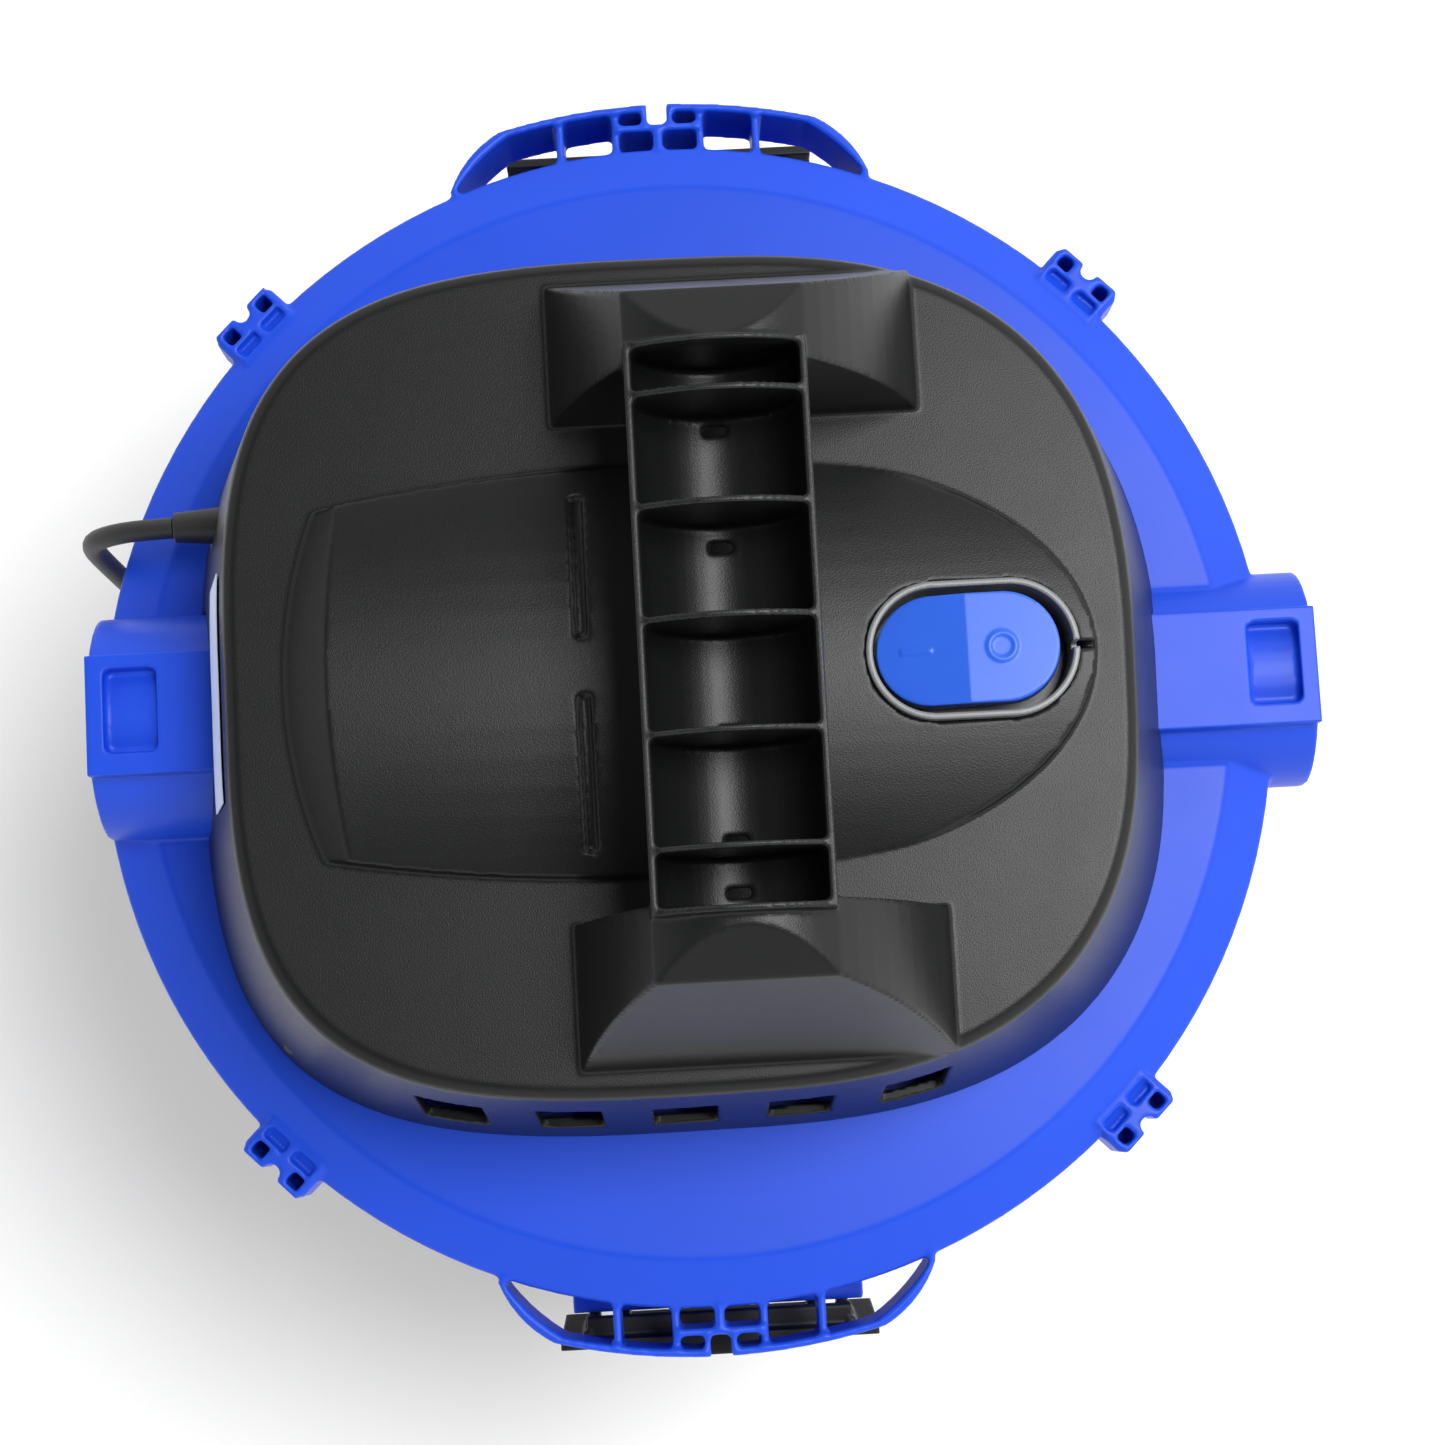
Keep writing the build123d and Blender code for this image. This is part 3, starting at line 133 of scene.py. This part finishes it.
# ---- materials ----------------------------------------------------------------------------
class Shader:
    """A Principled material with helpers for its node network."""

    def __init__(self, name, colour, roughness, **settings):
        self.material = bpy.data.materials.new(name)
        self.material.use_nodes = True
        self.tree = self.material.node_tree
        self.base = self.tree.nodes["Principled BSDF"]
        self.base.inputs["Base Color"].default_value = (*colour, 1.0)
        self.base.inputs["Roughness"].default_value = roughness
        for key, value in settings.items():
            self.base.inputs[key.replace("_", " ")].default_value = value
        self.place = self.node("ShaderNodeTexCoord").outputs["Object"]
        self.colour, self.roughness, self.last_bump = colour, roughness, None

    def node(self, kind, **settings):
        made = self.tree.nodes.new(kind)
        for key, value in settings.items():
            setattr(made, key, value)
        return made

    def join(self, source, target):
        self.tree.links.new(source, target)

    def noise(self, scale, detail=3.0, stretch=None):
        texture = self.node("ShaderNodeTexNoise")
        texture.inputs["Scale"].default_value = scale
        texture.inputs["Detail"].default_value = detail
        place = self.place
        if stretch:
            mapping = self.node("ShaderNodeMapping")
            mapping.inputs["Scale"].default_value = stretch
            self.join(place, mapping.inputs["Vector"])
            place = mapping.outputs["Vector"]
        self.join(place, texture.inputs["Vector"])
        return texture.outputs["Fac"]

    def remap(self, source, low, high, to_low, to_high):
        step = self.node("ShaderNodeMapRange")
        for key, value in (("From Min", low), ("From Max", high),
                           ("To Min", to_low), ("To Max", to_high)):
            step.inputs[key].default_value = value
        self.join(source, step.inputs["Value"])
        return step.outputs["Result"]

    def mottle(self, scale, spread, detail=4.0):
        """Slight changes of lightness over the surface."""
        ramp = self.node("ShaderNodeMix", data_type="RGBA")
        ramp.inputs["A"].default_value = (*(c * (1 - spread) for c in self.colour), 1)
        ramp.inputs["B"].default_value = (*(min(1, c * (1 + spread)) for c in self.colour), 1)
        self.join(self.noise(scale, detail), ramp.inputs["Factor"])
        self.tint = ramp.outputs["Result"]
        self.join(self.tint, self.base.inputs["Base Color"])
        return self

    def edges(self, strength, colour):
        """Painted highlight: lighter colour on the edges where the surface bends outwards, standing in
        for the light those edges catch.
        """
        point = self.node("ShaderNodeNewGeometry").outputs["Pointiness"]
        # painted highlight: strongest on the sharpest outward bends
        highlight_mask = self.remap(point, 0.53, 0.62, 0.0, strength)
        mix = self.node("ShaderNodeMix", data_type="RGBA")
        self.join(highlight_mask, mix.inputs["Factor"])
        self.join(self.tint, mix.inputs["A"])
        mix.inputs["B"].default_value = (*colour, 1)
        self.tint = mix.outputs["Result"]
        self.join(self.tint, self.base.inputs["Base Color"])
        return self

    def uneven_gloss(self, scale, spread):
        r = self.roughness
        gloss = self.remap(self.noise(scale), 0.3, 0.7, r - spread, r + spread)
        self.join(gloss, self.base.inputs["Roughness"])
        return self

    def bump(self, height, depth, strength=1.0):
        bump = self.node("ShaderNodeBump")
        bump.inputs["Distance"].default_value = depth
        bump.inputs["Strength"].default_value = strength
        self.join(height, bump.inputs["Height"])
        if self.last_bump:
            self.join(self.last_bump.outputs["Normal"], bump.inputs["Normal"])
        self.join(bump.outputs["Normal"], self.base.inputs["Normal"])
        self.last_bump = bump
        return self

    def grain(self, scale, depth, detail=2.0):
        return self.bump(self.noise(scale, detail), depth)


def moulded_plastic(name, colour, roughness, grain, depth, **settings):
    made = Shader(name, colour, roughness, **settings)
    made.mottle(30.0, 0.06)
    made.uneven_gloss(60.0, 0.012)
    made.grain(grain, depth)
    return made


def metal(name, colour, roughness, brushed):
    made = Shader(name, colour, roughness, Metallic=1.0)
    made.mottle(90.0, 0.06)
    made.uneven_gloss(250.0, 0.05)
    made.bump(made.noise(300.0, 2.0, brushed), 0.00002)
    return made


def foam(name, colour):
    made = Shader(name, colour, 0.95)
    made.mottle(400.0, 0.35)
    cells = made.node("ShaderNodeTexVoronoi")
    cells.inputs["Scale"].default_value = 900.0
    made.join(made.place, cells.inputs["Vector"])
    made.bump(cells.outputs["Distance"], 0.0006)
    return made


def make_materials():
    made = {
        "cover_black": moulded_plastic("cover_black", (0.0065, 0.0068, 0.007), 0.36, 2400.0, 0.00005,
                                       Specular_IOR_Level=0.25),
        "bezel_grey": moulded_plastic("bezel_grey", (0.15, 0.153, 0.157), 0.34, 2600.0, 0.00003),
        "lid_blue": moulded_plastic("lid_blue", (0.008, 0.060, 0.58), 0.40, 3000.0, 0.00002,
                                    Specular_IOR_Level=0.24),
        "button_blue": moulded_plastic("button_blue", (0.022, 0.105, 0.60), 0.34, 3200.0, 0.00002,
                                       Specular_IOR_Level=0.30),
        "drum_black": moulded_plastic("drum_black", (0.018, 0.018, 0.019), 0.42, 1800.0, 0.00006),
        "latch_black": moulded_plastic("latch_black", (0.012, 0.012, 0.0125), 0.42, 2400.0, 0.00005,
                                       Specular_IOR_Level=0.30),
        "label_white": moulded_plastic("label_white", (0.62, 0.70, 0.90), 0.50, 900.0, 0.00001),
        "cord_rubber": moulded_plastic("cord_rubber", (0.012, 0.012, 0.012), 0.50, 1500.0, 0.00003),
        "seal_rubber": moulded_plastic("seal_rubber", (0.014, 0.014, 0.014), 0.62, 1300.0, 0.00004),
        "inner_plastic": moulded_plastic("inner_plastic", (0.025, 0.025, 0.026), 0.40, 1800.0, 0.00004),
        "float_plastic": moulded_plastic("float_plastic", (0.62, 0.61, 0.57), 0.38, 1800.0, 0.00003),
        "caster_plastic": moulded_plastic("caster_plastic", (0.020, 0.020, 0.021), 0.44, 1800.0, 0.00005),
        "wheel_rubber": moulded_plastic("wheel_rubber", (0.030, 0.030, 0.031), 0.55, 1500.0, 0.00006),
        "steel": metal("steel", (0.60, 0.60, 0.61), 0.28, (1, 1, 14)),
        "pressed_steel": metal("pressed_steel", (0.55, 0.56, 0.58), 0.34, (1, 6, 1)),
        "core_steel": metal("core_steel", (0.24, 0.24, 0.25), 0.45, (1, 1, 30)),
        "copper": metal("copper", (0.72, 0.33, 0.14), 0.32, (12, 12, 1)),
        "brass": metal("brass", (0.76, 0.57, 0.24), 0.26, (1, 8, 1)),
        "alloy": metal("alloy", (0.74, 0.75, 0.76), 0.32, (1, 6, 1)),
        "carbon": moulded_plastic("carbon", (0.020, 0.020, 0.021), 0.60, 2400.0, 0.00003),
        "foam": foam("foam", (0.020, 0.020, 0.023)),
    }
    # painted highlights: each of these materials gets a lighter colour on its convex edges, standing in
    # for light caught there
    made["cover_black"].edges(0.5, (0.055, 0.057, 0.060))
    made["lid_blue"].edges(0.35, (0.05, 0.16, 0.85))
    made["bezel_grey"].edges(0.4, (0.45, 0.46, 0.47))
    made["drum_black"].edges(0.4, (0.05, 0.05, 0.052))
    made["latch_black"].edges(0.5, (0.05, 0.05, 0.052))
    return {slot: shader.material for slot, shader in made.items()}


def paint_cad_nodes():
    for node, obj in NODES.items():
        obj.data.materials.clear()
        obj.data.materials.append(MATERIALS[SLOT_OF[node]])


# ---- mains cord ---------------------------------------------------------------------------
CORD_D = 0.0062
# the route out of the cover, over the rim and down to the coil behind the drum, about the drum's axis
CORD_ROUTE = [
    (-0.1442, 0.0575, 0.3500), (-0.1556, 0.0574, 0.3493), (-0.1656, 0.0572, 0.3434),
    (-0.1714, 0.0570, 0.3336), (-0.1720, 0.0568, 0.3110), (-0.1718, 0.0564, 0.2680),
    (-0.1724, 0.0568, 0.2180), (-0.1746, 0.0580, 0.1680), (-0.1786, 0.0602, 0.1180),
    (-0.1836, 0.0638, 0.0700), (-0.1886, 0.0706, 0.0330), (-0.1914, 0.0840, 0.0095),
    (-0.1886, 0.1040, 0.0033), (-0.1770, 0.1240, 0.0032), (-0.1625, 0.1424, 0.0032),
    (-0.1492, 0.1610, 0.0032), (-0.1379, 0.1792, 0.0032)]
COIL_CENTRE = Vector((-0.084, 0.179))
COIL_R_OUT = 0.0472
COIL_PITCH = 0.00635
COIL_COLUMNS = 4
COIL_START = 150.0                  # degrees round the coil where the cord joins it
COIL_STEP = 20.0
LEAD_BEND = 0.0255                  # radius of the last bend, where the cord turns to the plug
COIL_TURNS = 19
CROSSING = 60.0                     # degrees of a turn taken by the step to the next place
# the way up from the last turn, as angle, radius and share of the rise, then round to the plug
LEAD_RISE = ((12.0, 0.0345, 0.12), (-8.0, 0.0348, 0.45), (-19.0, 0.0397, 0.70))
LEAD_TURN = ((-25.0, 0.88), (-50.0, 0.97))
CORD_SIDES, SPLINE_STEPS = 5, 5


def smooth_step(t):
    t = min(1.0, max(0.0, t))
    return t * t * (3 - 2 * t)


def coil_points():
    """Points of the wound length: turns beside each other, layer on layer, wound clockwise.
    A step to the next column, or to the next layer, takes the end of a turn."""
    swell = 1 / math.cos(math.radians(COIL_STEP / 2))
    places = []
    for turn in range(COIL_TURNS):
        layer, column = divmod(turn, COIL_COLUMNS)
        column = column if layer % 2 == 0 else COIL_COLUMNS - 1 - column
        places.append((COIL_R_OUT - column * COIL_PITCH, CORD_ROUTE[-1][2] + layer * COIL_PITCH))
    points, angle = [], COIL_START
    for (radius, height), (next_radius, next_height) in zip(places, places[1:] + places[-1:]):
        sweep = 360.0 - CROSSING if next_height > height else 360.0
        for k in range(round(sweep / COIL_STEP)):
            share = smooth_step((k * COIL_STEP - (sweep - CROSSING)) / CROSSING)
            r = (radius + (next_radius - radius) * share) * swell
            z = height + (next_height - height) * share
            a = math.radians(angle - k * COIL_STEP)
            points.append((COIL_CENTRE.x + r * math.cos(a), COIL_CENTRE.y + r * math.sin(a), z))
        angle -= sweep
    return points


def lead_out(last):
    """From the top turn, rising clear of the turns beside it, then round to the plug on the coil."""
    tail = PLUG_TAIL
    rise = tail.z - last[2]
    points = []
    for angle, radius, share in LEAD_RISE:
        a = math.radians(angle)
        points.append((COIL_CENTRE.x + radius * math.cos(a), COIL_CENTRE.y + radius * math.sin(a),
                       last[2] + rise * share))
    for angle, share in LEAD_TURN:
        a = math.radians(angle)
        points.append((tail.x + LEAD_BEND * math.cos(a), tail.y + LEAD_BEND * (1 + math.sin(a)),
                       last[2] + rise * share))
    return points + [(tail.x + 0.0075, tail.y, tail.z), (tail.x, tail.y, tail.z)]


def nurbs(name, points):
    data = bpy.data.curves.new(name, "CURVE")
    data.dimensions = "3D"
    spline = data.splines.new("NURBS")
    spline.points.add(len(points) - 1)
    for point, place in zip(spline.points, points):
        point.co = (place[0] + AXIS_X, place[1], place[2], 1.0)
    spline.order_u = 3
    spline.use_endpoint_u = True
    spline.resolution_u = SPLINE_STEPS
    return data


def make_cord(plug):
    wound = coil_points()
    points = CORD_ROUTE + wound + lead_out(wound[-1])
    data = nurbs("cord_route", points)
    route = link("cord_route", data)
    line = bpy.data.meshes.new_from_object(route)
    data.bevel_depth, data.bevel_resolution, data.use_fill_caps = CORD_D / 2, CORD_SIDES, True
    tube = bpy.data.meshes.new_from_object(route)
    bpy.data.objects.remove(route)
    shade_smooth(tube)
    tube.materials.clear()
    tube.materials.append(MATERIALS["cord_rubber"])
    cord = link("mains_cord", tube)
    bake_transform(cord)
    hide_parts("power_cord", "cord_coil")


# ---- stage --------------------------------------------------------------------------------
FLOOR_HALF = 6.0
TENT_BRIGHT_TO, TENT_DARK_FROM = 0.60, 0.80   # height on a unit sphere: white below, dark above
TENT_DARK = 0.06
TENT_REAR, TENT_FRONT = 0.9, 1.95             # strength towards -X and towards +X
LIGHT_AT, LIGHT_AIM = (0.62, 0.18, 2.30), (0.05, 0, 0.4)
LIGHT_SIZE, LIGHT_POWER = 0.9, 40.0


def make_floor():
    size = FLOOR_HALF
    data = bpy.data.meshes.new("floor")
    corners = [(-size, -size, 0), (size, -size, 0), (size, size, 0), (-size, size, 0)]
    data.from_pydata(corners, [], [(0, 1, 2, 3)])
    shader = Shader("floor_paper", (0.96, 0.96, 0.96), 0.85)
    shader.mottle(4.0, 0.01)
    data.materials.append(shader.material)
    link("floor", data)


def area_light(name, place, aim, size, power):
    data = bpy.data.lights.new(name, "AREA")
    data.shape, data.size, data.energy = "DISK", size, power
    light = link(name, data)
    light.location = place
    light.rotation_mode = "QUATERNION"
    light.rotation_quaternion = (Vector(aim) - Vector(place)).to_track_quat("-Z", "Y")


def make_world():
    """White tent round the object, darker overhead and at the rear."""
    world = bpy.data.worlds.new("tent")
    world.use_nodes = True
    tree = world.node_tree
    place = tree.nodes.new("ShaderNodeTexCoord")
    split = tree.nodes.new("ShaderNodeSeparateXYZ")
    ramp = tree.nodes.new("ShaderNodeValToRGB")
    tree.links.new(place.outputs["Generated"], split.inputs["Vector"])
    tree.links.new(split.outputs["Z"], ramp.inputs["Fac"])
    tree.links.new(ramp.outputs["Color"], tree.nodes["Background"].inputs["Color"])
    bright, dark = ramp.color_ramp.elements
    bright.position, bright.color = TENT_BRIGHT_TO, (1, 1, 1, 1)
    dark.position, dark.color = TENT_DARK_FROM, (TENT_DARK, TENT_DARK, TENT_DARK, 1)
    # more light comes from the front than from the rear
    side = tree.nodes.new("ShaderNodeMapRange")
    for key, value in (("From Min", -1.0), ("From Max", 1.0),
                       ("To Min", TENT_REAR), ("To Max", TENT_FRONT)):
        side.inputs[key].default_value = value
    tree.links.new(split.outputs["X"], side.inputs["Value"])
    tree.links.new(side.outputs["Result"], tree.nodes["Background"].inputs["Strength"])
    bpy.context.scene.world = world


make_camera()
MATERIALS = make_materials()
PLUG_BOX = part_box("plug")
PLUG_TAIL = Vector((PLUG_BOX[1].x - AXIS_X, (PLUG_BOX[0].y + PLUG_BOX[1].y) / 2,
                    (PLUG_BOX[0].z + PLUG_BOX[1].z) / 2))
paint_cad_nodes()
make_cord(softened(*PLUG_MOULD))
for node, voxel, passes in MOULDED:
    softened(node, voxel, passes)
make_floor()
make_world()
area_light("overhead", LIGHT_AT, LIGHT_AIM, LIGHT_SIZE, LIGHT_POWER)
bpy.context.scene.view_settings.view_transform = "Standard"
